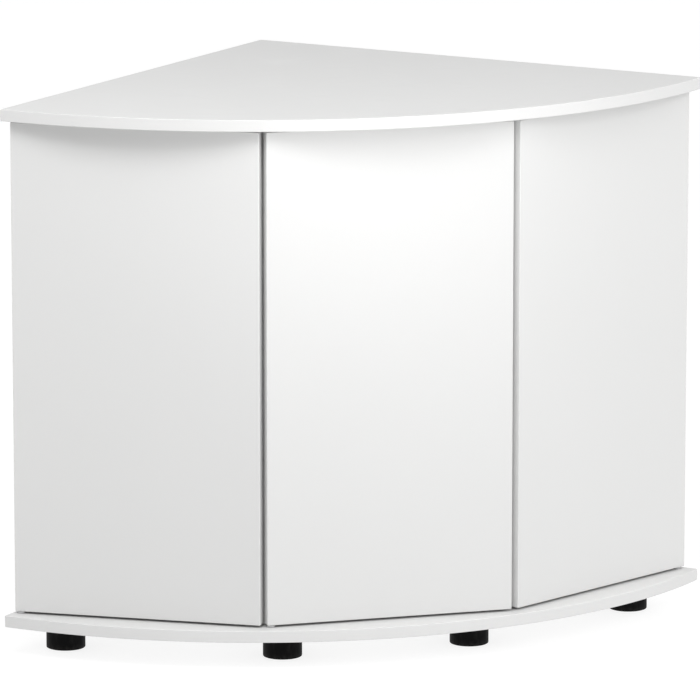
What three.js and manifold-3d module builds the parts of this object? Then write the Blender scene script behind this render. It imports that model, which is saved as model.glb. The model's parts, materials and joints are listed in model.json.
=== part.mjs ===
// Corner cabinet that carries a quarter-round aquarium: a base board and a top board shaped like a
// quarter disc, held apart by two side panels and two partitions, with three flat doors standing
// on a five-sided front and seven round plastic feet. Millimetres, +Z up, floor at Z = 0, front
// towards -Y. Every vertical piece is set out from the back corner, where the two walls meet.
import * as THREE from 'three';
import { mergeVertices } from 'three/addons/utils/BufferGeometryUtils.js';
import Module from 'manifold-3d';

const wasm = await Module();
wasm.setup();

// ---- driving dimensions -------------------------------------------------------------------
const BASE_RADIUS = 696.5; // quarter disc of the base board, measured from the back corner
const TOP_RADIUS = 694.5; // the top board is cut 2 mm smaller
const BOARD = 16; // every board is 16 mm thick
const HEIGHT = 746; // floor to the top face
const FOOT_HEIGHT = 40;
const FOOT_RADIUS = 26.5;
const FIT = 0.3; // gap between two pieces that touch

const FACE_DISTANCE = 658; // back corner to the outer face of each door
const FACE_ANGLES = { left: -30, centre: 0, right: 30 }; // outward direction, degrees from -Y
const DOOR_WIDTH = 341.5;
const DOOR_GAP = 3.3; // above and below each door
const SIDE_DOOR_SHIFT = 0.9; // the outer doors sit this much nearer to the middle
const HINGE_END = 7; // pivot axis to the end of the door
const HINGE_SIDES = { left: -1, centre: -1, right: 1 }; // which end of the door has the pivots

const WALL_ANGLE = 45; // each wall stands this far round from -Y
const SIDE_INSET = 6; // side panel's outer face to the wall line
const PARTITION_ANGLE = 15; // partitions stand behind the joints between the doors
const PARTITION_START = 200; // from the back corner; the space behind it is shared
const CARCASS_SETBACK = 5; // side panels and partitions stop this far behind the doors

const CUTOUT = { from: 70, to: 180, low: 610, high: 700, corner: 14 }; // hose and cable cut-out
const SHELF_UNDERSIDE = 380;
const SHELF_FRONT = 22; // behind the doors' inner face
const SHELF_BACK = 235; // from the back corner
const SHELF_SIDE_GAP = 1.5;
const SHELF_PIN_RADIUS = 2.5;
const SHELF_PIN_PLACES = [330, 560]; // along the panels, from the back corner

const PIN_RADIUS = 2.5; // steel pivot pin
const BUSH_BORE = 2.6;
const BUSH_RADIUS = 4.5;
const BUSH_LENGTH = 12.8;
const LATCH_FROM_END = 42; // push latch to the free end of the door
const LATCH_DROP = 13; // latch axis below the top board
const LATCH_SIZE = { width: 18, length: 62, height: 21 };
const PLUNGER_RADIUS = 4;

const BASE_UNDERSIDE = FOOT_HEIGHT;
const BASE_FACE = BASE_UNDERSIDE + BOARD;
const TOP_UNDERSIDE = HEIGHT - BOARD;
const DOOR_BOTTOM = BASE_FACE + DOOR_GAP;
const DOOR_TOP = TOP_UNDERSIDE - DOOR_GAP;
const DOOR_INNER = FACE_DISTANCE - BOARD;
const CARCASS_FRONT = DOOR_INNER - CARCASS_SETBACK;

const FEET = {
  foot_front_left_outer: [-401, -462.6],
  foot_front_left_inner: [-131.5, -590.2],
  foot_front_right_inner: [131.5, -590.2],
  foot_front_right_outer: [401, -462.6],
  foot_side_left: [-212, -283],
  foot_side_right: [212, -283],
  foot_back_corner: [0, -84],
}; // centres in plan, from the back corner

// ---- materials ------------------------------------------------------------------------------
const finish = (color, roughness, metalness = 0) => () =>
  new THREE.MeshStandardMaterial({ color, roughness, metalness });
const whiteBoard = finish(0xf0f0ee, 0.42);
const blackPlastic = finish(0x121214, 0.5);
const whitePlastic = finish(0xe4e4e0, 0.45);
const greyPlastic = finish(0xb9bbbd, 0.5);
const steel = finish(0xb4b6b8, 0.32, 1);

// ---- solids ---------------------------------------------------------------------------------
const rad = THREE.MathUtils.degToRad;

function toSolid(geometry) {
  const bare = geometry.clone();
  bare.deleteAttribute('normal');
  bare.deleteAttribute('uv');
  const merged = mergeVertices(bare, 1e-4);
  return new wasm.Manifold(
    new wasm.Mesh({
      numProp: 3,
      vertProperties: new Float32Array(merged.attributes.position.array),
      triVerts: new Uint32Array(merged.index.array),
    }),
  );
}

function toGeometry(solid) {
  const mesh = solid.getMesh();
  const geometry = new THREE.BufferGeometry();
  geometry.setAttribute('position', new THREE.BufferAttribute(mesh.vertProperties, 3));
  geometry.setIndex(new THREE.BufferAttribute(mesh.triVerts, 1));
  geometry.computeVertexNormals();
  return geometry;
}

const cut = (geometry, tools) =>
  toGeometry(tools.reduce((solid, tool) => solid.subtract(toSolid(tool)), toSolid(geometry)));

const outline = (points) => new THREE.Shape(points.map(([x, y]) => new THREE.Vector2(x, y)));

function slab(shape, low, high, curveSegments = 12) {
  const options = { depth: high - low, bevelEnabled: false, curveSegments };
  return new THREE.ExtrudeGeometry(shape, options).translate(0, 0, low);
}

// A round rod along Z from low to high, centred on (x, y).
const rod = (radius, x, y, low, high, sides = 16) =>
  new THREE.CylinderGeometry(radius, radius, high - low, sides)
    .rotateX(Math.PI / 2)
    .translate(x, y, (low + high) / 2);

// A turned piece about the Z axis, from [radius, z] pairs.
const turned = (profile, sides = 16) =>
  new THREE.LatheGeometry(
    profile.map(([r, z]) => new THREE.Vector2(r, z)),
    sides,
  ).rotateX(Math.PI / 2);

const along = (angle, distance, offset = 0) => [
  distance * Math.sin(rad(angle)) + offset * Math.cos(rad(angle)),
  -distance * Math.cos(rad(angle)) + offset * Math.sin(rad(angle)),
];

// ---- assembly -------------------------------------------------------------------------------
// Everything hangs from the back corner; the group moves it to the middle of the footprint.
const cabinet = new THREE.Group();
const corner = new THREE.Group();
corner.position.set(0, BASE_RADIUS / 2, 0);
cabinet.add(corner);

function add(parent, name, geometry, material, x = 0, y = 0, z = 0) {
  const mesh = new THREE.Mesh(geometry, material());
  mesh.name = name;
  mesh.position.set(x, y, z);
  parent.add(mesh);
  return mesh;
}

// A frame at the back corner turned so that its own -Y looks along the given direction.
function turnedFrame(angle) {
  const group = new THREE.Group();
  group.rotation.z = rad(angle);
  corner.add(group);
  return group;
}

function quarterDisc(radius) {
  const shape = new THREE.Shape();
  const start = rad(-90 - WALL_ANGLE);
  shape.moveTo(0, 0);
  shape.lineTo(radius * Math.cos(start), radius * Math.sin(start));
  shape.absarc(0, 0, radius, start, rad(-90 + WALL_ANGLE), false);
  shape.closePath();
  return shape;
}

// Where each door stands along its face, and where its pivots and push latch are.
const doors = Object.entries(FACE_ANGLES).map(([side, angle]) => {
  const centre = -Math.sign(angle) * SIDE_DOOR_SHIFT;
  const hingeSide = HINGE_SIDES[side];
  return {
    side,
    angle,
    centre,
    pivot: centre + hingeSide * (DOOR_WIDTH / 2 - HINGE_END),
    latch: centre - hingeSide * (DOOR_WIDTH / 2 - LATCH_FROM_END),
    pivotDistance: FACE_DISTANCE - BOARD / 2,
  };
});
const pivotPlaces = doors.map((door) => along(door.angle, door.pivotDistance, door.pivot));

// Top and base boards, drilled for the pivot pins and the foot screws.
const PIN_SOCKET = { radius: 4, depth: 10 };
add(
  corner,
  'top_board',
  cut(
    slab(quarterDisc(TOP_RADIUS), TOP_UNDERSIDE, HEIGHT, 72),
    pivotPlaces.map(([x, y]) =>
      rod(PIN_SOCKET.radius, x, y, TOP_UNDERSIDE - 1, TOP_UNDERSIDE + PIN_SOCKET.depth),
    ),
  ),
  whiteBoard,
);
add(
  corner,
  'base_board',
  cut(slab(quarterDisc(BASE_RADIUS), BASE_UNDERSIDE, BASE_FACE, 72), [
    ...pivotPlaces.map(([x, y]) =>
      rod(PIN_SOCKET.radius, x, y, BASE_FACE - PIN_SOCKET.depth, BASE_FACE + 1),
    ),
    ...Object.values(FEET).map(([x, y]) => rod(2.6, x, y, BASE_UNDERSIDE - 1, BASE_UNDERSIDE + 13)),
  ]),
  whiteBoard,
);

// A blind hole for a shelf pin, drilled 9 mm deep into a panel face.
function shelfPinHole(distance, face, direction) {
  const length = 10;
  return new THREE.CylinderGeometry(SHELF_PIN_RADIUS + FIT, SHELF_PIN_RADIUS + FIT, length, 10)
    .rotateZ(Math.PI / 2)
    .translate(face - direction * 4, -distance, SHELF_UNDERSIDE - SHELF_PIN_RADIUS - FIT);
}

// Side panels along the two walls, their front edges mitred to lie parallel with the doors. The
// right panel runs into the back corner and the left one butts against it.
const PANEL_LOW = BASE_FACE + FIT;
const PANEL_HIGH = TOP_UNDERSIDE - FIT;
const MITRE = rad(WALL_ANGLE - FACE_ANGLES.right);
const frontAt = (offset) => (CARCASS_FRONT - offset * Math.sin(MITRE)) / Math.cos(MITRE);

function cableCutout(face) {
  const { from, to, low, high, corner: r } = CUTOUT;
  const shape = new THREE.Shape();
  shape.absarc(from + r, low + r, r, Math.PI, 1.5 * Math.PI, false);
  shape.absarc(to - r, low + r, r, 1.5 * Math.PI, 2 * Math.PI, false);
  shape.absarc(to - r, high - r, r, 0, 0.5 * Math.PI, false);
  shape.absarc(from + r, high - r, r, 0.5 * Math.PI, Math.PI, false);
  shape.closePath();
  const upright = new THREE.Matrix4().makeBasis(
    new THREE.Vector3(0, -1, 0),
    new THREE.Vector3(0, 0, 1),
    new THREE.Vector3(-1, 0, 0),
  );
  return slab(shape, -2 * BOARD, 2 * BOARD, 6)
    .applyMatrix4(upright)
    .translate(face, 0, 0);
}

for (const side of ['left', 'right']) {
  const inward = side === 'left' ? 1 : -1;
  const start = side === 'left' ? SIDE_INSET + BOARD + FIT : SIDE_INSET;
  const outer = SIDE_INSET;
  const inner = SIDE_INSET + BOARD;
  const plan = [
    [inward * outer, -start],
    [inward * outer, -frontAt(outer)],
    [inward * inner, -frontAt(inner)],
    [inward * inner, -start],
  ];
  const frame = turnedFrame(-inward * WALL_ANGLE);
  const holes = SHELF_PIN_PLACES.map((place) => shelfPinHole(place, inward * inner, inward));
  const panel = slab(outline(plan), PANEL_LOW, PANEL_HIGH);
  const name = `${side}_side_panel`;
  add(frame, name, cut(panel, [cableCutout(inward * inner), ...holes]), whiteBoard);
}

// Partitions behind the two joints between the doors.
const partitionEnd = (CARCASS_FRONT - (BOARD / 2) * Math.sin(MITRE)) / Math.cos(MITRE);
for (const side of ['left', 'right']) {
  const outward = side === 'left' ? -1 : 1;
  const frame = turnedFrame(outward * PARTITION_ANGLE);
  const plan = [
    [-BOARD / 2, -PARTITION_START],
    [-BOARD / 2, -partitionEnd],
    [BOARD / 2, -partitionEnd],
    [BOARD / 2, -PARTITION_START],
  ];
  const holes = SHELF_PIN_PLACES.map((place) =>
    shelfPinHole(place, (outward * BOARD) / 2, outward),
  );
  add(frame, `${side}_partition`, cut(slab(outline(plan), PANEL_LOW, PANEL_HIGH), holes), whiteBoard);
}

// One shelf in each outer compartment: a wedge between side panel and partition on four pins.
function meet([px, py], [dx, dy], distance, faceAngle) {
  const nx = Math.sin(rad(faceAngle));
  const ny = -Math.cos(rad(faceAngle));
  const t = (distance - px * nx - py * ny) / (dx * nx + dy * ny);
  return [px + dx * t, py + dy * t];
}

const SHELF_PIN = [
  [0, -8.4],
  [SHELF_PIN_RADIUS, -8.4],
  [SHELF_PIN_RADIUS, FIT],
  [3.6, FIT],
  [3.6, 1.5],
  [SHELF_PIN_RADIUS, 1.5],
  [SHELF_PIN_RADIUS, 9],
  [0, 9],
];
for (const side of ['left', 'right']) {
  const outward = side === 'left' ? -1 : 1;
  const faceAngle = FACE_ANGLES[side];
  const wallAngle = outward * WALL_ANGLE;
  const midAngle = outward * PARTITION_ANGLE;
  const wallOffset = -outward * (SIDE_INSET + BOARD + SHELF_SIDE_GAP);
  const midOffset = outward * (BOARD / 2 + SHELF_SIDE_GAP);
  const wallLine = [along(wallAngle, 0, wallOffset), along(wallAngle, 1)];
  const midLine = [along(midAngle, 0, midOffset), along(midAngle, 1)];
  const front = DOOR_INNER - SHELF_FRONT;
  const plan = [
    meet(...wallLine, SHELF_BACK, faceAngle),
    meet(...wallLine, front, faceAngle),
    meet(...midLine, front, faceAngle),
    meet(...midLine, SHELF_BACK, faceAngle),
  ];
  const shelf = slab(outline(plan), SHELF_UNDERSIDE, SHELF_UNDERSIDE + BOARD);
  add(corner, `${side}_shelf`, shelf, whiteBoard);

  const pinPanels = [
    { where: 'wall', angle: wallAngle, face: -outward * (SIDE_INSET + BOARD), direction: -outward },
    { where: 'partition', angle: midAngle, face: (outward * BOARD) / 2, direction: outward },
  ];
  for (const { where, angle, face, direction } of pinPanels) {
    const frame = turnedFrame(angle);
    for (const [index, place] of SHELF_PIN_PLACES.entries()) {
      const name = `${side}_shelf_pin_${where}_${['back', 'front'][index]}`;
      const height = SHELF_UNDERSIDE - SHELF_PIN_RADIUS - FIT;
      const pin = turned(SHELF_PIN, 10).rotateY((direction * Math.PI) / 2);
      add(frame, name, pin, steel, face, -place, height);
    }
  }
}

// Doors, each with its pivot pins, bushes, push latch and strike pad.
const BUSH_POCKET = BUSH_RADIUS + FIT;
const BUSH_LOW = DOOR_BOTTOM - 0.1;
const PIN_FLANGE = 2.6;
const PIVOT_PIN = [
  [0, -9.4],
  [3.7, -9.4],
  [3.7, FIT],
  [6.2, FIT],
  [6.2, PIN_FLANGE + FIT],
  [PIN_RADIUS, PIN_FLANGE + FIT],
  [PIN_RADIUS, 13.4],
  [PIN_RADIUS - 0.6, 14],
  [0, 14],
];
const BUSH = [
  [BUSH_BORE, 0],
  [BUSH_RADIUS, 0],
  [BUSH_RADIUS, BUSH_LENGTH],
  [BUSH_BORE, BUSH_LENGTH],
  [BUSH_BORE, 0],
];
const STRIKE_PAD = [
  [0, 0],
  [7, 0],
  [7, 0.9],
  [6.6, 1.2],
  [0, 1.2],
];
const PLUNGER = [
  [0, 0],
  [PLUNGER_RADIUS - 0.8, 0],
  [PLUNGER_RADIUS, 0.8],
  [PLUNGER_RADIUS, 50],
  [0, 50],
];
const LATCH_AXIS = TOP_UNDERSIDE - LATCH_DROP;
const PAD_FACE = DOOR_INNER - FIT - 1.2;
const PLUNGER_TIP = PAD_FACE - 0.4;
const LATCH_FRONT = PLUNGER_TIP - 2;

function latchBody() {
  const { width, length, height } = LATCH_SIZE;
  const r = 3;
  const half = width / 2;
  const top = LATCH_DROP - FIT;
  const shape = new THREE.Shape();
  shape.moveTo(-half, top);
  shape.absarc(-half + r, top - height + r, r, Math.PI, 1.5 * Math.PI, false);
  shape.absarc(half - r, top - height + r, r, 1.5 * Math.PI, 2 * Math.PI, false);
  shape.lineTo(half, top);
  shape.closePath();
  const block = slab(shape, 0, length, 4);
  const bore = rod(PLUNGER_RADIUS + FIT, 0, 0, -1, length - 5);
  return cut(block, [bore]).rotateX(Math.PI / 2).rotateZ(Math.PI);
}

for (const { side, angle, centre, pivot, latch, pivotDistance } of doors) {
  const frame = turnedFrame(angle);
  const middle = (DOOR_BOTTOM + DOOR_TOP) / 2;
  const leaf = new THREE.BoxGeometry(DOOR_WIDTH, BOARD, DOOR_TOP - DOOR_BOTTOM);
  leaf.translate(centre, -pivotDistance, middle);
  const pockets = [
    rod(BUSH_POCKET, pivot, -pivotDistance, DOOR_BOTTOM - 1, DOOR_BOTTOM + 13),
    rod(BUSH_POCKET, pivot, -pivotDistance, DOOR_TOP - 13, DOOR_TOP + 1),
  ];
  add(frame, `${side}_door`, cut(leaf, pockets), whiteBoard);

  const place = [pivot, -pivotDistance];
  const upsideDown = Math.PI;
  const upperBush = turned(BUSH).rotateX(upsideDown);
  const upperPin = turned(PIVOT_PIN).rotateX(upsideDown);
  const bushTop = DOOR_TOP + DOOR_BOTTOM - BUSH_LOW;
  add(frame, `${side}_door_lower_bush`, turned(BUSH), greyPlastic, ...place, BUSH_LOW);
  add(frame, `${side}_door_upper_bush`, upperBush, greyPlastic, ...place, bushTop);
  add(frame, `${side}_door_lower_pivot_pin`, turned(PIVOT_PIN), steel, ...place, BASE_FACE);
  add(frame, `${side}_door_upper_pivot_pin`, upperPin, steel, ...place, TOP_UNDERSIDE);

  const pad = turned(STRIKE_PAD).rotateX(-Math.PI / 2);
  const plunger = turned(PLUNGER).rotateX(-Math.PI / 2);
  add(frame, `${side}_strike_pad`, pad, steel, latch, -(DOOR_INNER - FIT), LATCH_AXIS);
  add(frame, `${side}_latch_body`, latchBody(), whitePlastic, latch, -LATCH_FRONT, LATCH_AXIS);
  add(frame, `${side}_latch_plunger`, plunger, greyPlastic, latch, -PLUNGER_TIP, LATCH_AXIS);
}

// Round feet, each held by one screw driven up through it into the base board.
const FOOT_TOP = FOOT_HEIGHT - FIT;
const FOOT = [
  [7, 0],
  [FOOT_RADIUS - 1, 0],
  [FOOT_RADIUS, 1],
  [FOOT_RADIUS, FOOT_TOP],
  [2.6, FOOT_TOP],
  [2.6, 14],
  [7, 14],
  [7, 0],
];
const FOOT_SCREW = [
  [0, 10.6],
  [3.6, 10.6],
  [4.4, 11.4],
  [4.4, 13.7],
  [2.2, 13.7],
  [2.2, 50],
  [0, 52.4],
];
for (const [name, [x, y]] of Object.entries(FEET)) {
  add(corner, name, turned(FOOT, 36), blackPlastic, x, y);
  add(corner, name.replace('foot', 'foot_screw'), turned(FOOT_SCREW, 10), steel, x, y);
}

export default cabinet;
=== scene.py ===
import json
import math

import bmesh
import bpy
from mathutils import Matrix, Vector


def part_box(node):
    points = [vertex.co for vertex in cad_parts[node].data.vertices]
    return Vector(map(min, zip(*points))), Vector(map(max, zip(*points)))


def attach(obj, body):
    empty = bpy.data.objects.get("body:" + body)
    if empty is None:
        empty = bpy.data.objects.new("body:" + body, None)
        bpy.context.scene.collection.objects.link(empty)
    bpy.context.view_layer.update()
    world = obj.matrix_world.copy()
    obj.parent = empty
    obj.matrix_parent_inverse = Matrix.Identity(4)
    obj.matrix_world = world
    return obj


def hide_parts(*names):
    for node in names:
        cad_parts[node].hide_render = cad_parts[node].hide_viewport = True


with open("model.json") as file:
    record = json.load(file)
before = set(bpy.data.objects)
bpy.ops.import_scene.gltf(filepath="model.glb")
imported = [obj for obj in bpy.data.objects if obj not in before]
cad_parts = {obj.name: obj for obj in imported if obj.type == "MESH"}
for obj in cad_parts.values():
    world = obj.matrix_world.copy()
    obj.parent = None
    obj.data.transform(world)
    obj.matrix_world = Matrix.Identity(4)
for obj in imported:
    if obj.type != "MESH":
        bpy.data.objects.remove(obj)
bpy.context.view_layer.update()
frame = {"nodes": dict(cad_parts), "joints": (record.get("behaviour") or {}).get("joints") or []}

# ---- camera ------------------------------------------------------------------------------------
# A long lens at the left front, a little over two metres up, looking slightly down, so that the
# top face, the left and centre doors and a narrow view of the right door are all seen.
camera = bpy.data.objects.new("camera", bpy.data.cameras.new("camera"))
bpy.context.collection.objects.link(camera)
camera.location = (-2.341, -8.304, 2.125)
camera.rotation_euler = (math.radians(90 - 11.53), 0, math.radians(-15.95))
camera.data.sensor_width = 36
camera.data.lens = 328.5
camera.data.clip_end = 200
bpy.context.scene.camera = camera


# ---- floor and studio light --------------------------------------------------------------------
# A wide pale floor, lit through like a light table and clear when seen from underneath, in a plain
# room with a bright band of soft boxes round it. The floor looks whiter than the light it sheds.
class Wire:
    """A value on its way through a material: arithmetic on it adds Math nodes."""

    def __init__(self, tree, socket):
        self.tree = tree
        self.socket = socket

    def maths(self, operation, first, second):
        return node(self.tree, "ShaderNodeMath", {"operation": operation}, {0: first, 1: second})

    def __add__(self, other):
        return self.maths("ADD", self, other)

    def __mul__(self, other):
        return self.maths("MULTIPLY", self, other)

    def __sub__(self, other):
        return self.maths("SUBTRACT", self, other)

    def __rsub__(self, other):
        return self.maths("SUBTRACT", other, self)

    __radd__ = __add__
    __rmul__ = __mul__


def node(tree, kind, settings=None, inputs=None, output=0):
    """Adds one node: its settings first, then the values or links of its sockets."""
    made = tree.nodes.new(kind)
    for name, value in (settings or {}).items():
        if name == "stops":
            elements = made.color_ramp.elements
            while len(elements) < len(value):
                elements.new(0.5)
            for stop, (at, colour) in zip(elements, value):
                stop.position = at
                stop.color = (*colour, 1)
        else:
            setattr(made, name, value)
    for key, value in (inputs or {}).items():
        if isinstance(value, Wire):
            tree.links.new(value.socket, made.inputs[key])
        else:
            made.inputs[key].default_value = value
    return Wire(tree, made.outputs[output]) if made.outputs else None


def new_material(name):
    """An empty material and the tree that its surface is built in."""
    material = bpy.data.materials.new(name)
    material.use_nodes = True
    material.node_tree.nodes.clear()
    return material, material.node_tree


def finish_material(tree, shader):
    """Ends a material with this shader."""
    node(tree, "ShaderNodeOutputMaterial", inputs={"Surface": shader})


def place_on(tree, stretch=(1, 1, 1)):
    """Where a point lies on its own piece, with each direction stretched."""
    spot = node(tree, "ShaderNodeTexCoord", output="Object")
    if stretch == (1, 1, 1):
        return spot
    return node(tree, "ShaderNodeVectorMath", {"operation": "MULTIPLY"}, {0: spot, 1: stretch})


def mottle(tree, scale, detail=2.0, stretch=(1, 1, 1), roughness=0.5):
    """Cloudy noise from 0 to 1 with this many clouds to the metre."""
    return node(
        tree,
        "ShaderNodeTexNoise",
        inputs={
            "Vector": place_on(tree, stretch),
            "Scale": scale,
            "Detail": detail,
            "Roughness": roughness,
        },
        output="Fac",
    )


def between(tree, mask, low, high):
    """A colour that goes from low to high with the mask."""
    return node(
        tree,
        "ShaderNodeMix",
        {"data_type": "RGBA"},
        {"Factor": mask, 6: (*low, 1), 7: (*high, 1)},
        output=2,
    )


def ramp(tree, value, low, high):
    """0 below low, 1 above high, and straight between."""
    return node(
        tree,
        "ShaderNodeMapRange",
        {"clamp": True},
        {"Value": value, "From Min": low, "From Max": high},
    )


def bumps(tree, height, distance, strength=1.0):
    """A surface normal raised by height, up to this distance in metres."""
    return node(
        tree,
        "ShaderNodeBump",
        inputs={"Height": height, "Distance": distance, "Strength": strength},
    )


def surface(tree, colour, roughness, normal=None, **fixed):
    """The glossy surface itself; fixed holds sockets that are the same all over."""
    inputs = {"Base Color": colour, "Roughness": roughness, **fixed}
    if normal is not None:
        inputs["Normal"] = normal
    return node(tree, "ShaderNodeBsdfPrincipled", inputs=inputs)


def link(piece):
    """Puts a piece into the scene."""
    bpy.context.collection.objects.link(piece)
    return piece


def new_piece(name, bm):
    """Ends a bmesh as a piece of this name."""
    mesh = bpy.data.meshes.new(name)
    bm.to_mesh(mesh)
    bm.free()
    return link(bpy.data.objects.new(name, mesh))


FLOOR_HALF = 40
bm = bmesh.new()
bmesh.ops.create_grid(bm, x_segments=8, y_segments=8, size=FLOOR_HALF)
floor = new_piece("studio_floor", bm)
paint, tree = new_material("pale_floor_paint")
tone = mottle(tree, 1.5, 3.0)
seen = node(tree, "ShaderNodeLightPath", output="Is Camera Ray")
lit_floor = surface(
    tree,
    between(tree, tone, (0.24, 0.24, 0.24), (0.26, 0.26, 0.26)),
    0.75 + 0.1 * tone,
    **{
        "Emission Color": between(tree, seen, (0.72, 0.72, 0.72), (1, 1, 1)),
        "Emission Strength": 0.81,
        "Specular IOR Level": 0.1,
    },
)
underside = node(tree, "ShaderNodeNewGeometry", output="Backfacing")
clear = node(tree, "ShaderNodeBsdfTransparent")
one_sided = node(tree, "ShaderNodeMixShader", inputs={0: underside, 1: lit_floor, 2: clear})
finish_material(tree, one_sided)
floor.data.materials.append(paint)

room = bpy.data.worlds.new("white_room")
bpy.context.scene.world = room
room.use_nodes = True
room.node_tree.nodes.clear()
tree = room.node_tree
upward = node(tree, "ShaderNodeTexCoord", output="Generated")
upward = node(tree, "ShaderNodeSeparateXYZ", inputs={0: upward}, output="Z")
soft_boxes = node(
    tree,
    "ShaderNodeValToRGB",
    {
        "stops": [
            (0.34, (0.2, 0.2, 0.2)),
            (0.50, (1.0, 1.0, 1.0)),
            (0.70, (0.8, 0.8, 0.8)),
            (0.84, (0.2, 0.2, 0.2)),
            (1.00, (0.2, 0.2, 0.2)),
        ]
    },
    {"Fac": upward},
)
glow = node(tree, "ShaderNodeBackground", inputs={"Color": soft_boxes, "Strength": 1.45})
node(tree, "ShaderNodeOutputWorld", inputs={"Surface": glow})


def soft_panel(name, place, aim, size, watts, glare=True):
    """A light at place, facing aim: the camera never sees it, and gloss only shows it with glare."""
    lamp = bpy.data.lights.new(name, "AREA")
    lamp.shape = "RECTANGLE"
    lamp.size, lamp.size_y = size
    lamp.energy = watts
    panel = link(bpy.data.objects.new(name, lamp))
    panel.location = place
    panel.rotation_euler = (Vector(aim) - Vector(place)).to_track_quat("-Z", "Y").to_euler()
    panel.visible_camera = False
    panel.visible_glossy = glare


soft_panel("right_panel", (2.2, -2.6, 1.9), (0.2, -0.2, 0.4), (1.6, 1.6), 31.6, glare=False)
soft_panel("steep_left_panel", (-1.0, -1.3, 2.2), (-0.2, -0.3, 0.3), (1.2, 0.8), 16.6)
soft_panel("overhead_panel", (-0.2, -1.5, 2.8), (0.0, -0.35, 0.3), (3.0, 0.8), 12.0)
soft_panel("side_panel", (3.2, -2.4, 0.9), (0.2, -0.2, 0.4), (1.6, 1.4), 13.0, glare=False)
soft_panel("near_strip", (0.0, -0.75, 0.70), (0.0, -0.3, 0.70), (0.4, 0.08), 0.58)
bpy.context.scene.view_settings.view_transform = "Standard"


# ---- feet --------------------------------------------------------------------------------------
# Seven round feet, moulded in black plastic with a fine spark-eroded grain and scuffs, and painted
# lighter in patches near the floor: dust, and a painted highlight of the bright floor. Each is held
# by one zinc-plated screw, driven up through it into the base board.
TINY = 1e-6  # metres; anything shorter counts as a point
NEARLY_STRAIGHT = math.radians(12)
BROKEN_EDGE = 0.0003  # radius that takes the sharpness off turned pieces


def eased(points, radius, closed=False, steps=4):
    """The same line with its corners rounded to this radius."""
    count = len(points)
    out = []
    for i, corner in enumerate(points):
        here = Vector(corner)
        if not closed and i in (0, count - 1):
            out.append(tuple(here))
            continue
        before, after = Vector(points[i - 1]), Vector(points[(i + 1) % count])
        into, away = here - before, after - here
        if min(into.length, away.length) < TINY or into.angle(away) < NEARLY_STRAIGHT:
            out.append(tuple(here))
            continue
        reach = min(radius * math.tan(into.angle(away) / 2), into.length * 0.45, away.length * 0.45)
        start, end = here - into.normalized() * reach, here + away.normalized() * reach
        for step in range(steps + 1):
            t = step / steps
            out.append(tuple(start * (1 - t) ** 2 + here * 2 * t * (1 - t) + end * t * t))
    return out


def turn(name, profile, sides=48, closed=False):
    """A piece turned about its own Z axis from (radius, height) pairs."""
    bm = bmesh.new()
    rings = []
    for radius, height in profile:
        ring = []
        for i in range(1 if radius < TINY else sides):
            a = 2 * math.pi * i / sides
            ring.append(bm.verts.new((radius * math.cos(a), radius * math.sin(a), height)))
        rings.append(ring)
    pairs = list(zip(rings, rings[1:]))
    if closed:
        pairs.append((rings[-1], rings[0]))
    for lower, upper in pairs:
        for i in range(sides):
            j = (i + 1) % sides
            patch = (lower[i % len(lower)], lower[j % len(lower)])
            patch += (upper[j % len(upper)], upper[i % len(upper)])
            corners = list(dict.fromkeys(patch))
            if len(corners) > 2:
                bm.faces.new(corners)
    bmesh.ops.recalc_face_normals(bm, faces=bm.faces)
    return new_piece(name, bm)


def smooth(piece, angle=35):
    """Rounds the shading over edges flatter than this and keeps the flats flat."""
    piece.data.polygons.foreach_set("use_smooth", [True] * len(piece.data.polygons))
    piece.data.set_sharp_from_angle(angle=math.radians(angle))
    even = piece.modifiers.new("even_flats", "WEIGHTED_NORMAL")
    even.keep_sharp = True
    return piece


def give_materials(piece, *materials):
    """Adds materials to a piece, in the order that its faces number them."""
    for material in materials:
        piece.data.materials.append(material)


def fit(piece, body, cad_node, slot, *materials):
    """Gives a piece its materials and puts it on its body in place of the plain solid."""
    give_materials(piece, *materials)
    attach(piece, body)
    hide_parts(cad_node)


def middle(cad_node):
    """The middle of a plain solid's box."""
    low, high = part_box(cad_node)
    return (low + high) / 2


black_plastic, tree = new_material("black_foot_plastic")
grain = mottle(tree, 1900, 3.0)
rub = ramp(tree, mottle(tree, 90, 4.0, (1, 1, 0.35)), 0.52, 0.7)
height = node(tree, "ShaderNodeSeparateXYZ", inputs={0: place_on(tree)}, output="Z")
# the lowest 8 mm are painted lighter in patches: dust there, and a painted highlight where the bright
# floor's light catches the foot
low_down = 1 - ramp(tree, height, 0.0, 0.008)
dust_and_floor_highlight = low_down * ramp(tree, mottle(tree, 160, 3.0), 0.35, 0.75)
finish_material(
    tree,
    surface(
        tree,
        between(tree, 0.5 * dust_and_floor_highlight + 0.18 * rub, (0.0042, 0.0042, 0.0045), (0.06, 0.058, 0.055)),
        0.46 + 0.12 * grain + 0.15 * dust_and_floor_highlight,
        bumps(tree, grain + 0.6 * rub, 0.00006, 0.7),
        **{"Specular IOR Level": 0.08},
    ),
)

zinc, tree = new_material("zinc_plate")
lines = mottle(tree, 60, 2.0, (1, 1, 40))
tarnish = mottle(tree, 240, 4.0)
finish_material(
    tree,
    surface(
        tree,
        between(tree, tarnish, (0.56, 0.565, 0.58), (0.72, 0.72, 0.715)),
        0.22 + 0.12 * tarnish + 0.06 * lines,
        bumps(tree, lines, 0.00002, 0.5),
        Metallic=1.0,
    ),
)

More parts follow.
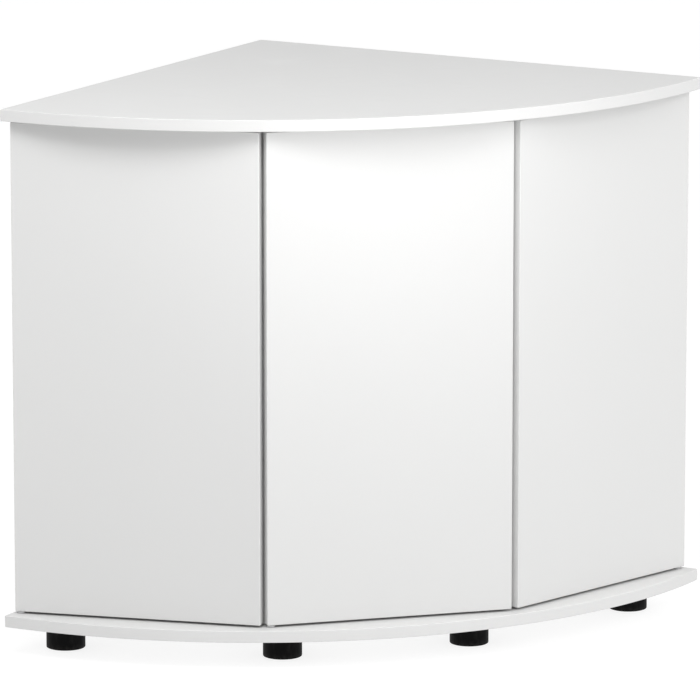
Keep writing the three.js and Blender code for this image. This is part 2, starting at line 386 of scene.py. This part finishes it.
foot_low, foot_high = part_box("foot_back_corner")
FOOT_RADIUS = (foot_high.x - foot_low.x) / 2
FOOT_TOP = foot_high.z
SCREW_HOLE = 0.0026  # radius of the hole that the screw passes through
FOOT_PROFILE = [  # from the screw's recess out to the rim, up, and back in to the screw's hole
    (0.0102, 0.0),
    (0.0102, 0.0026),
    (0.0218, 0.0026),
    (0.0226, 0.0),
    (FOOT_RADIUS - 0.0002, 0.0),
    (FOOT_RADIUS, 0.0016),
    (FOOT_RADIUS, FOOT_TOP * 0.5),
    (FOOT_RADIUS - 0.0003, FOOT_TOP),
    (SCREW_HOLE, FOOT_TOP),
    (SCREW_HOLE, 0.014),
    (0.007, 0.014),
    (0.0072, 0.0),
]
SCREW_PROFILE = [  # from the bottom of the drive recess, round the head and up the shank
    (0.0, 0.0122),
    (0.0012, 0.0114),
    (0.0017, 0.0106),
    (0.0034, 0.0107),
    (0.0043, 0.0118),
    (0.0044, 0.0137),
    (0.0022, 0.0137),
    (0.0022, 0.050),
    (0.0, 0.0524),
]
feet = [name for name in frame["nodes"] if name.startswith("foot_") and "screw" not in name]
for cad_node in feet:
    centre = middle(cad_node)
    moulded = eased(FOOT_PROFILE, 0.0009, closed=True, steps=3)
    foot = turn(f"{cad_node}_moulding", moulded, 72, closed=True)
    foot.location = (centre.x, centre.y, 0)
    fit(smooth(foot, 40), "carcass", cad_node, "black_plastic", black_plastic)
    screw_node = cad_node.replace("foot", "foot_screw")
    screw = turn(f"{screw_node}_turned", eased(SCREW_PROFILE, BROKEN_EDGE, steps=2), 32)
    screw.location = (centre.x, centre.y, 0)
    fit(smooth(screw), "carcass", screw_node, "steel", zinc)


# ---- base board --------------------------------------------------------------------------------
# A quarter disc of 16 mm chipboard faced with white melamine. A white plastic strip is glued
# round its edge and trimmed to a small radius, which leaves a fine glue line on each face.
BOARD_WHITE = ((0.675, 0.676, 0.672), (0.715, 0.715, 0.71))  # darkest and lightest


def away_from(tree, spot):
    """How far a point of the surface lies from this spot, in metres."""
    return node(
        tree,
        "ShaderNodeVectorMath",
        {"operation": "DISTANCE"},
        {0: place_on(tree), 1: spot},
        output="Value",
    )


def facing_material(name, marks=()):
    """White melamine facing: faint mottle, fine pearl texture, smears; marks are handled spots."""
    material, tree = new_material(name)
    cloud = mottle(tree, 3.2, 3.0)
    fleck = mottle(tree, 850, 2.0)
    pearl = mottle(tree, 380, 1.5, roughness=0.35)
    smear = ramp(tree, mottle(tree, 7, 4.0, (1, 1, 0.3), 0.62), 0.5, 0.74)
    shade = 0.62 * cloud + 0.38 * fleck
    rough = 0.35 + 0.05 * cloud + 0.09 * smear
    if marks:
        handled = sum(1 - ramp(tree, away_from(tree, spot), 0.012, 0.06) for spot in marks)
        prints = handled * ramp(tree, mottle(tree, 55, 4.0), 0.4, 0.65)
        shade = shade - 0.12 * prints
        rough = rough + 0.12 * prints
    colour = between(tree, shade, *BOARD_WHITE)
    normal = bumps(tree, pearl + 0.25 * fleck, 0.00004, 0.55)
    finish_material(tree, surface(tree, colour, rough, normal, **{"Specular IOR Level": 0.45}))
    return material


def edging_material(name, run):
    """White plastic edging with fine trimming lines; run squeezes the noise along the strip."""
    material, tree = new_material(name)
    lines = mottle(tree, 30, 3.0, run)
    cloud = mottle(tree, 12, 3.0)
    knock = ramp(tree, mottle(tree, 140, 5.0, roughness=0.65), 0.66, 0.74)
    shade = 0.7 * cloud + 0.3 * lines - 0.5 * knock
    colour = between(tree, shade, (0.685, 0.685, 0.682), (0.715, 0.715, 0.71))
    normal = bumps(tree, lines - 0.8 * knock, 0.00004, 0.5)
    finish_material(tree, surface(tree, colour, 0.3 + 0.1 * lines + 0.12 * knock, normal))
    return material


facing = facing_material("white_melamine_facing")
flat_edging = edging_material("white_edging_along_the_board", (1, 1, 60))
upright_edging = edging_material("white_edging_up_the_board", (60, 60, 1))

glue_line, tree = new_material("glue_line")
broken = ramp(tree, mottle(tree, 70, 4.0), 0.35, 0.65)
finish_material(
    tree,
    surface(tree, between(tree, broken, (0.8, 0.795, 0.78), (0.66, 0.65, 0.62)), 0.5 + 0.15 * broken),
)

chipboard, tree = new_material("bare_chipboard")
chips = node(
    tree,
    "ShaderNodeTexVoronoi",
    {"feature": "F1"},
    {"Vector": place_on(tree, (1, 1, 1.7)), "Scale": 430.0, "Randomness": 1.0},
    output="Distance",
)
fibre = mottle(tree, 520, 4.0, (1, 1, 2.4), 0.6)
patch = mottle(tree, 120, 3.0)
core = node(
    tree,
    "ShaderNodeValToRGB",
    {
        "stops": [
            (0.15, (0.20, 0.125, 0.065)),
            (0.45, (0.44, 0.31, 0.18)),
            (0.7, (0.60, 0.46, 0.29)),
            (0.95, (0.72, 0.60, 0.42)),
        ]
    },
    {"Fac": 0.45 * fibre + 0.35 * chips + 0.3 * patch},
)
finish_material(
    tree, surface(tree, core, 0.82 + 0.1 * fibre, bumps(tree, fibre - 0.6 * chips, 0.0004, 0.8))
)

FACE, EDGE, SEAM, CORE = range(4)
EASE = 0.001  # radius of the trimmed edges
SEAM_WIDTH = 0.0003


def prism(ring, rise):
    """A bmesh of a flat ring of points drawn out along a vector."""
    bm = bmesh.new()
    start = bm.faces.new([bm.verts.new(point) for point in ring])
    drawn = bmesh.ops.extrude_face_region(bm, geom=[start])["geom"]
    moved = [v for v in drawn if isinstance(v, bmesh.types.BMVert)]
    bmesh.ops.translate(bm, verts=moved, vec=rise)
    bmesh.ops.recalc_face_normals(bm, faces=bm.faces)
    return bm


def board(name, outline, low, high, across=(0, 0, 1)):
    """A board with this outline in plan between two heights; across is the way through its faces."""
    bm = prism([(x, y, low) for x, y in outline], (0, 0, high - low))
    across = Vector(across)
    for face in bm.faces:
        face.material_index = FACE if abs(face.normal.dot(across)) > 0.98 else EDGE
    rims = [e for e in bm.edges if e.calc_face_angle(0) > math.radians(25)]
    bmesh.ops.bevel(
        bm, geom=rims, offset=EASE, segments=3, profile=0.5, affect="EDGES", material=EDGE
    )
    faces = [f for f in bm.faces if f.material_index == FACE]
    ring = bmesh.ops.inset_individual(bm, faces=faces, thickness=SEAM_WIDTH)["faces"]
    for face in ring:
        face.material_index = SEAM
    for face in faces:
        face.material_index = FACE
    return new_piece(name, bm)


def cut_away(piece, tools, inside):
    """Takes the tools out of a piece and shows what is inside in the cuts."""
    for tool in tools:
        tool.data.materials.append(inside)
        cut = piece.modifiers.new("cut", "BOOLEAN")
        cut.operation = "DIFFERENCE"
        cut.solver = "EXACT"
        cut.material_mode = "TRANSFER"
        cut.object = tool
    bpy.context.view_layer.update()
    whole = piece.evaluated_get(bpy.context.evaluated_depsgraph_get())
    mesh = bpy.data.meshes.new_from_object(whole)
    piece.modifiers.clear()
    piece.data = mesh
    for tool in tools:
        bpy.data.objects.remove(tool)


def drill(radius, x, y, low, high):
    """A round tool for one upright hole."""
    tool = turn("drill", [(0, low), (radius, low), (radius, high), (0, high)], 32)
    tool.location = (x, y, 0)
    return tool


def quarter_disc(cad_node, steps=120):
    """The outline of a quarter disc: the back corner, then the curved front from left to right."""
    low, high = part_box(cad_node)
    radius = high.y - low.y
    curve = [math.radians(-45 + 90 * i / steps) for i in range(steps + 1)]
    return [(0, high.y)] + [(radius * math.sin(a), high.y - radius * math.cos(a)) for a in curve]


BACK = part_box("base_board")[1].y  # the back corner, where the two walls meet
SOCKET_RADIUS, SOCKET_DEPTH = 0.004, 0.010  # the hole for a pivot pin
SCREW_DEPTH = 0.013  # how far a foot's screw is let into the base
PAST = 0.001  # how far a tool starts outside the face that it cuts
pivots = [Vector(j["pos_m"]) for j in frame["joints"] if j["type"] == "hinge"]
base_low, base_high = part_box("base_board")
base = board("base_board_faced", quarter_disc("base_board"), base_low.z, base_high.z)
give_materials(base, facing, flat_edging, glue_line)
socket_floor = base_high.z - SOCKET_DEPTH
holes = [drill(SOCKET_RADIUS, p.x, p.y, socket_floor, base_high.z + PAST) for p in pivots]
for cad_node in [name for name in frame["nodes"] if name.startswith("foot_screw")]:
    spot = middle(cad_node)
    screw_end = base_low.z + SCREW_DEPTH
    holes.append(drill(SCREW_HOLE, spot.x, spot.y, base_low.z - PAST, screw_end))
cut_away(base, holes, chipboard)
fit(smooth(base), "carcass", "base_board", "white_board")


# ---- side panels -------------------------------------------------------------------------------
# Two upright boards along the room walls, their front edges mitred to suit the doors. Each has a
# routed opening near the back corner for hoses and leads, where the bare chipboard shows.
def along(angle, distance, offset=0.0):
    """A point this far from the back corner in a direction from the front, set off to the right."""
    a = math.radians(angle)
    x = distance * math.sin(a) + offset * math.cos(a)
    return (x, BACK - distance * math.cos(a) + offset * math.sin(a))


def sideways(place, angle, direction):
    """Turns a piece from standing on Z to lying across a panel that runs out at this angle."""
    return (
        Matrix.Translation(place)
        @ Matrix.Rotation(math.radians(angle), 4, "Z")
        @ Matrix.Rotation(direction * math.pi / 2, 4, "Y")
    )


def through(angle):
    """The level direction through the faces of a panel that runs out at this angle."""
    return (math.cos(math.radians(angle)), math.sin(math.radians(angle)), 0)


BOARD = 0.016  # thickness of every board
FIT_GAP = 0.0003  # between two pieces that lie against each other
WALL_ANGLE = 45
WALL_INSET = 0.006  # from the top's straight edges in to the side panels
DOOR_ANGLES = {"left": -30, "centre": 0, "right": 30}
DOOR_FACE = 0.658  # back corner to the doors' outer faces
DOOR_GAP = 0.005  # between the closed doors and the carcass
CARCASS_FRONT = DOOR_FACE - BOARD - DOOR_GAP
MITRE = math.radians(WALL_ANGLE - DOOR_ANGLES["right"])
CUTOUT = (0.070, 0.180, 0.610, 0.700)  # near and far end from the back corner, bottom and top
CUTOUT_CORNER = 0.014
PIN_PLACES = {"back": 0.330, "front": 0.560}
PIN_HOLE = (0.0028, 0.009)  # radius and depth
SIDES = {"left": -1, "right": 1}


def router(angle, offset):
    """A rounded block that cuts the hose opening through a side panel."""
    near, far, low, high = CUTOUT
    ring = eased(
        [(near, low), (far, low), (far, high), (near, high)], CUTOUT_CORNER, closed=True, steps=8
    )
    reach = BOARD * 1.5
    shift = Vector(along(angle, 0, reach * 2)) - Vector(along(angle, 0))
    start = [(*along(angle, r, offset - reach), z) for r, z in ring]
    return new_piece("router", prism(start, (shift.x, shift.y, 0)))


def pin_holes(angle, face, direction, height):
    """Tools for the shelf pins' holes, bored into a panel's face."""
    radius, depth = PIN_HOLE
    tools = []
    for place in PIN_PLACES.values():
        tool = turn("drill", [(0, -depth), (radius, -depth), (radius, PAST), (0, PAST)], 24)
        tool.matrix_world = sideways((*along(angle, place, face), height), angle, direction)
        tools.append(tool)
    return tools


pin_height = middle("left_shelf_pin_wall_back").z
for side, sign in SIDES.items():
    cad_node = f"{side}_side_panel"
    low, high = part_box(cad_node)
    # the left panel butts against the right one in the back corner
    start = WALL_INSET + (BOARD + FIT_GAP if side == "left" else 0)
    insets = (WALL_INSET, WALL_INSET + BOARD)
    ends = [(CARCASS_FRONT - off * math.sin(MITRE)) / math.cos(MITRE) for off in insets]
    angle = sign * WALL_ANGLE
    outer, inner = (-sign * off for off in insets)
    outline = [along(angle, start, outer), along(angle, ends[0], outer)]
    outline += [along(angle, ends[1], inner), along(angle, start, inner)]
    panel = board(f"{cad_node}_faced", outline, low.z, high.z, through(angle))
    give_materials(panel, facing, upright_edging, glue_line)
    tools = [router(angle, outer), *pin_holes(angle, inner, -sign, pin_height)]
    cut_away(panel, tools, chipboard)
    fit(smooth(panel), "carcass", cad_node, "white_board")


# ---- partitions --------------------------------------------------------------------------------
# Two upright boards behind the joints between the doors. They carry the top where the tank's
# weight is, and stop short of the back corner so that hoses can pass behind them.
PARTITION_ANGLE = 15
PARTITION_START = 0.200
partition_end = (CARCASS_FRONT - BOARD / 2 * math.sin(MITRE)) / math.cos(MITRE)
for side, sign in SIDES.items():
    cad_node = f"{side}_partition"
    low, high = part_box(cad_node)
    angle = sign * PARTITION_ANGLE
    half = BOARD / 2
    outline = [along(angle, PARTITION_START, -half), along(angle, partition_end, -half)]
    outline += [along(angle, partition_end, half), along(angle, PARTITION_START, half)]
    panel = board(f"{cad_node}_faced", outline, low.z, high.z, through(angle))
    give_materials(panel, facing, upright_edging, glue_line)
    cut_away(panel, pin_holes(angle, sign * half, sign, pin_height), chipboard)
    fit(smooth(panel), "carcass", cad_node, "white_board")


# ---- shelves and shelf pins --------------------------------------------------------------------
# One wedge-shaped shelf in each outer compartment, lying loose on four nickel-plated steel pins
# that are pushed into holes in the side panel and the partition.
nickel, tree = new_material("nickel_plate")
film = mottle(tree, 300, 3.0)
finish_material(
    tree,
    surface(
        tree,
        between(tree, film, (0.58, 0.56, 0.52), (0.7, 0.68, 0.64)),
        0.18 + 0.14 * film,
        bumps(tree, mottle(tree, 90, 2.0, (1, 1, 30)), 0.00001, 0.5),
        Metallic=1.0,
    ),
)

SHELF_BACK = 0.235
SHELF_SETBACK = 0.022  # behind the closed doors
SHELF_FRONT = DOOR_FACE - BOARD - SHELF_SETBACK
SHELF_GAP = 0.0015  # between a shelf and the panels beside it
SHELF_PIN_MIDDLE = 0.0003
SHELF_PIN = [  # from the end in the panel, past the flange, to the end under the shelf
    (0.0, -0.0084),
    (0.0021, -0.0084),
    (0.0025, -0.0078),
    (0.0025, 0.0003),
    (0.0036, 0.0003),
    (0.0036, 0.0015),
    (0.0025, 0.0015),
    (0.0025, 0.0086),
    (0.0021, 0.0090),
    (0.0, 0.0090),
]


def shelf_corner(angle, offset, distance, face_angle):
    """Where a line beside a panel meets a line parallel to the doors."""
    a, b = math.radians(angle), math.radians(face_angle)
    reach = (distance - offset * math.sin(b - a)) / math.cos(b - a)
    return along(angle, reach, offset)


for side, sign in SIDES.items():
    cad_node = f"{side}_shelf"
    low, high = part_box(cad_node)
    wall = (sign * WALL_ANGLE, -sign * (WALL_INSET + BOARD + SHELF_GAP))
    post = (sign * PARTITION_ANGLE, sign * (BOARD / 2 + SHELF_GAP))
    face_angle = DOOR_ANGLES[side]
    corners = [(wall, SHELF_BACK), (wall, SHELF_FRONT), (post, SHELF_FRONT), (post, SHELF_BACK)]
    outline = [shelf_corner(*edge, distance, face_angle) for edge, distance in corners]
    shelf = board(f"{cad_node}_faced", outline, low.z, high.z)
    give_materials(shelf, facing, flat_edging, glue_line)
    fit(smooth(shelf), "carcass", cad_node, "white_board")
    for where, angle, direction in (
        ("wall", sign * WALL_ANGLE, -sign),
        ("partition", sign * PARTITION_ANGLE, sign),
    ):
        for place in PIN_PLACES:
            pin_node = f"{side}_shelf_pin_{where}_{place}"
            pin = turn(f"{pin_node}_turned", eased(SHELF_PIN, BROKEN_EDGE, steps=2), 32)
            centred = Matrix.Translation((0, 0, -SHELF_PIN_MIDDLE))
            pin.matrix_world = sideways(middle(pin_node), angle, direction) @ centred
            fit(smooth(pin), "carcass", pin_node, "steel", nickel)


# ---- top board ---------------------------------------------------------------------------------
# The quarter disc that the tank stands on, of the same faced chipboard with the edging all round.
# Its face has the fine hairlines that come from sliding a tank and wiping up water.
top_facing, tree = new_material("white_melamine_top")
cloud = mottle(tree, 2.2, 3.0)
fleck = mottle(tree, 850, 2.0)
pearl = mottle(tree, 380, 1.5, roughness=0.35)
dried = ramp(tree, mottle(tree, 16, 5.0, roughness=0.6), 0.55, 0.72)
hairline = ramp(tree, mottle(tree, 2.4, 6.0, (180, 7, 1), 0.75), 0.68, 0.76)
cross_hairline = ramp(tree, mottle(tree, 2.1, 6.0, (9, 150, 1), 0.75), 0.7, 0.77)
finish_material(
    tree,
    surface(
        tree,
        between(tree, 0.62 * cloud + 0.38 * fleck - 0.1 * hairline, *BOARD_WHITE),
        0.4 + 0.06 * cloud + 0.1 * dried + 0.1 * hairline + 0.08 * cross_hairline,
        bumps(
            tree, pearl + 0.25 * fleck - 0.6 * hairline - 0.5 * cross_hairline, 0.00004, 0.55
        ),
        **{"Specular IOR Level": 0.45},
    ),
)
top_low, top_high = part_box("top_board")
top = board("top_board_faced", quarter_disc("top_board"), top_low.z, top_high.z)
give_materials(top, top_facing, flat_edging, glue_line)
socket_end = top_low.z + SOCKET_DEPTH
holes = [drill(SOCKET_RADIUS, p.x, p.y, top_low.z - PAST, socket_end) for p in pivots]
cut_away(top, holes, chipboard)
fit(smooth(top), "carcass", "top_board", "white_board")


# ---- push latches ------------------------------------------------------------------------------
# One touch latch for each door, fixed up under the top board: a white moulded case and a grey
# push rod with a rubber tip, which meets a thin steel pad stuck to the back of the door.
white_moulding, tree = new_material("white_latch_moulding")
grain = mottle(tree, 1400, 3.0)
cloud = mottle(tree, 60, 2.0)
finish_material(
    tree,
    surface(
        tree,
        between(tree, cloud, (0.76, 0.76, 0.745), (0.82, 0.82, 0.8)),
        0.38 + 0.14 * grain,
        bumps(tree, grain, 0.00003, 0.6),
    ),
)

grey_nylon, tree = new_material("grey_nylon")
grain = mottle(tree, 1100, 3.0)
cloud = mottle(tree, 140, 2.0)
finish_material(
    tree,
    surface(
        tree,
        between(tree, cloud, (0.4, 0.41, 0.42), (0.5, 0.505, 0.51)),
        0.42 + 0.14 * grain,
        bumps(tree, grain, 0.00003, 0.6),
    ),
)

rubber, tree = new_material("black_rubber_tip")
grain = mottle(tree, 1600, 4.0)
finish_material(
    tree,
    surface(
        tree,
        between(tree, grain, (0.018, 0.018, 0.019), (0.04, 0.04, 0.04)),
        0.62 + 0.2 * grain,
        bumps(tree, grain, 0.00005, 0.8),
    ),
)

LATCH_WIDTH, LATCH_LENGTH, LATCH_HEIGHT = 0.018, 0.062, 0.021
ROD_DROP = 0.013  # from the top board down to the rod's axis
LATCH_AXIS = ROD_DROP - FIT_GAP  # from the top of the case down to the rod's axis
ROD_LENGTH = 0.050
ROD = [  # from the rubber tip, past its neck, to the far end
    (0.0, 0.0),
    (0.0030, 0.0),
    (0.0038, 0.0007),
    (0.0039, 0.0030),
    (0.0036, 0.0034),
    (0.0036, 0.0040),
    (0.0040, 0.0044),
    (0.0040, ROD_LENGTH - 0.001),
    (0.0036, ROD_LENGTH),
    (0.0, ROD_LENGTH),
]
ROD_TIP = 0.0036  # length of the rubber
PAD_THICKNESS = 0.0012
PAD = [
    (0.0, 0.0),
    (0.0066, 0.0),
    (0.0070, 0.0004),
    (0.0070, PAD_THICKNESS),
    (0.0, PAD_THICKNESS),
]
ROD_BORE = [(0, -PAST), (0.0055, -PAST), (0.0043, 0.0008), (0.0043, 0.057), (0, 0.057)]


def lying(cad_node, angle, length):
    """Turns a piece from standing on Z to lying behind its door, its start at the door's side."""
    return (
        Matrix.Translation(middle(cad_node))
        @ Matrix.Rotation(math.radians(angle), 4, "Z")
        @ Matrix.Rotation(-math.pi / 2, 4, "X")
        @ Matrix.Translation((0, 0, -length / 2))
    )


def latch_case(name):
    """A case with rounded lower corners and the tool that bores it; its length runs up Z."""
    half = LATCH_WIDTH / 2
    # the case's own Y points down once it lies behind the door
    bottom, top = LATCH_HEIGHT - LATCH_AXIS, -LATCH_AXIS
    corners = [(-half, top), (-half, bottom), (half, bottom), (half, top)]
    ring = [(x, y, 0) for x, y in eased(corners, 0.003, steps=6)]
    bm = prism(ring, (0, 0, LATCH_LENGTH))
    rims = [e for e in bm.edges if e.calc_face_angle(0) > math.radians(40)]
    bmesh.ops.bevel(bm, geom=rims, offset=0.0006, segments=2, profile=0.5, affect="EDGES")
    return new_piece(name, bm), turn("bore", ROD_BORE, 40)


for side, angle in DOOR_ANGLES.items():
    case_node = f"{side}_latch_body"
    case, bore = latch_case(f"{case_node}_moulding")
    give_materials(case, white_moulding)
    cut_away(case, [bore], white_moulding)
    to_axis = top_low.z - ROD_DROP - middle(case_node).z
    lowered = Matrix.Translation((0, 0, to_axis))
    case.matrix_world = lowered @ lying(case_node, angle, LATCH_LENGTH)
    fit(smooth(case), "carcass", case_node, "white_plastic")

    rod_node = f"{side}_latch_plunger"
    rod = turn(f"{rod_node}_turned", eased(ROD, BROKEN_EDGE, steps=2), 40)
    rod.matrix_world = lying(rod_node, angle, ROD_LENGTH)
    give_materials(rod, grey_nylon, rubber)
    for face in rod.data.polygons:
        face.material_index = 1 if face.center.z < ROD_TIP else 0
    fit(smooth(rod), f"{side}_push_rod", rod_node, "grey_plastic")

    pad_node = f"{side}_strike_pad"
    pad = turn(f"{pad_node}_pressed", eased(PAD, BROKEN_EDGE, steps=2), 48)
    pad.matrix_world = lying(pad_node, angle, PAD_THICKNESS)
    fit(smooth(pad), f"{side}_leaf", pad_node, "steel", zinc)


# ---- doors -------------------------------------------------------------------------------------
# Three equal flat doors without handles, of faced chipboard with edging on all four sides. Each is
# opened with a push near its free upper corner, where the facing is a little dulled by hands.
DOOR_WIDTH = 0.3415
POCKET_RADIUS, POCKET_DEPTH = 0.0048, 0.013  # the hole for a bush


def outward(angle):
    """The level direction out of the face of a door that stands at this angle."""
    return Vector((math.sin(math.radians(angle)), -math.cos(math.radians(angle)), 0))


push_spots = [
    tuple(middle(f"{side}_strike_pad") + outward(angle) * BOARD)
    for side, angle in DOOR_ANGLES.items()
]
door_facing = facing_material("white_melamine_doors", push_spots)
for side, angle in DOOR_ANGLES.items():
    cad_node = f"{side}_door"
    low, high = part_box(cad_node)
    centre = (low + high) / 2
    right, out = Vector(through(angle)).xy, outward(angle).xy
    outline = [
        tuple(centre.xy + right * (x * DOOR_WIDTH / 2) + out * (y * BOARD / 2))
        for x, y in ((-1, 1), (1, 1), (1, -1), (-1, -1))
    ]
    leaf = board(f"{cad_node}_faced", outline, low.z, high.z, (out.x, out.y, 0))
    give_materials(leaf, door_facing, upright_edging, glue_line)
    pivot = next(Vector(j["pos_m"]) for j in frame["joints"] if j["name"] == f"{side}_door_swing")
    pockets = [
        drill(POCKET_RADIUS, pivot.x, pivot.y, low.z - PAST, low.z + POCKET_DEPTH),
        drill(POCKET_RADIUS, pivot.x, pivot.y, high.z - POCKET_DEPTH, high.z + PAST),
    ]
    cut_away(leaf, pockets, chipboard)
    fit(smooth(leaf), f"{side}_leaf", cad_node, "white_board")


# ---- pivot pins and bushes ---------------------------------------------------------------------
# Each door turns on two zinc-plated steel pins, pressed into the base board and the top board,
# in nylon bushes let into its lower and upper edge. The pin's flange keeps the door off the board.
PIN_DEPTH = 0.0094  # how far a pin is pressed into a board
PIN = [  # from the end in the board, past the flange, to the end in the bush
    (0.0, -PIN_DEPTH),
    (0.0034, -PIN_DEPTH),
    (0.0037, -0.0090),
    (0.0037, 0.0003),
    (0.0062, 0.0003),
    (0.0062, 0.0029),
    (0.0025, 0.0029),
    (0.0025, 0.0134),
    (0.0019, 0.0140),
    (0.0, 0.0140),
]
BUSH = [(0.0026, 0.0), (0.0045, 0.0), (0.0045, 0.0128), (0.0026, 0.0128)]
for side in DOOR_ANGLES:
    for end, flip in (("lower", 0), ("upper", math.pi)):
        pin_node = f"{side}_door_{end}_pivot_pin"
        spot = middle(pin_node)
        low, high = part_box(pin_node)
        face = low.z + PIN_DEPTH if end == "lower" else high.z - PIN_DEPTH
        over = Matrix.Rotation(flip, 4, "X")
        pin = turn(f"{pin_node}_turned", eased(PIN, BROKEN_EDGE, steps=2), 40)
        pin.matrix_world = Matrix.Translation((spot.x, spot.y, face)) @ over
        fit(smooth(pin), "carcass", pin_node, "steel", zinc)

        bush_node = f"{side}_door_{end}_bush"
        low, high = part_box(bush_node)
        edge = low.z if end == "lower" else high.z
        sleeve = eased(BUSH, BROKEN_EDGE, closed=True, steps=2)
        bush = turn(f"{bush_node}_turned", sleeve, 40, closed=True)
        bush.matrix_world = Matrix.Translation((spot.x, spot.y, edge)) @ over
        fit(smooth(bush), f"{side}_leaf", bush_node, "grey_plastic", grey_nylon)
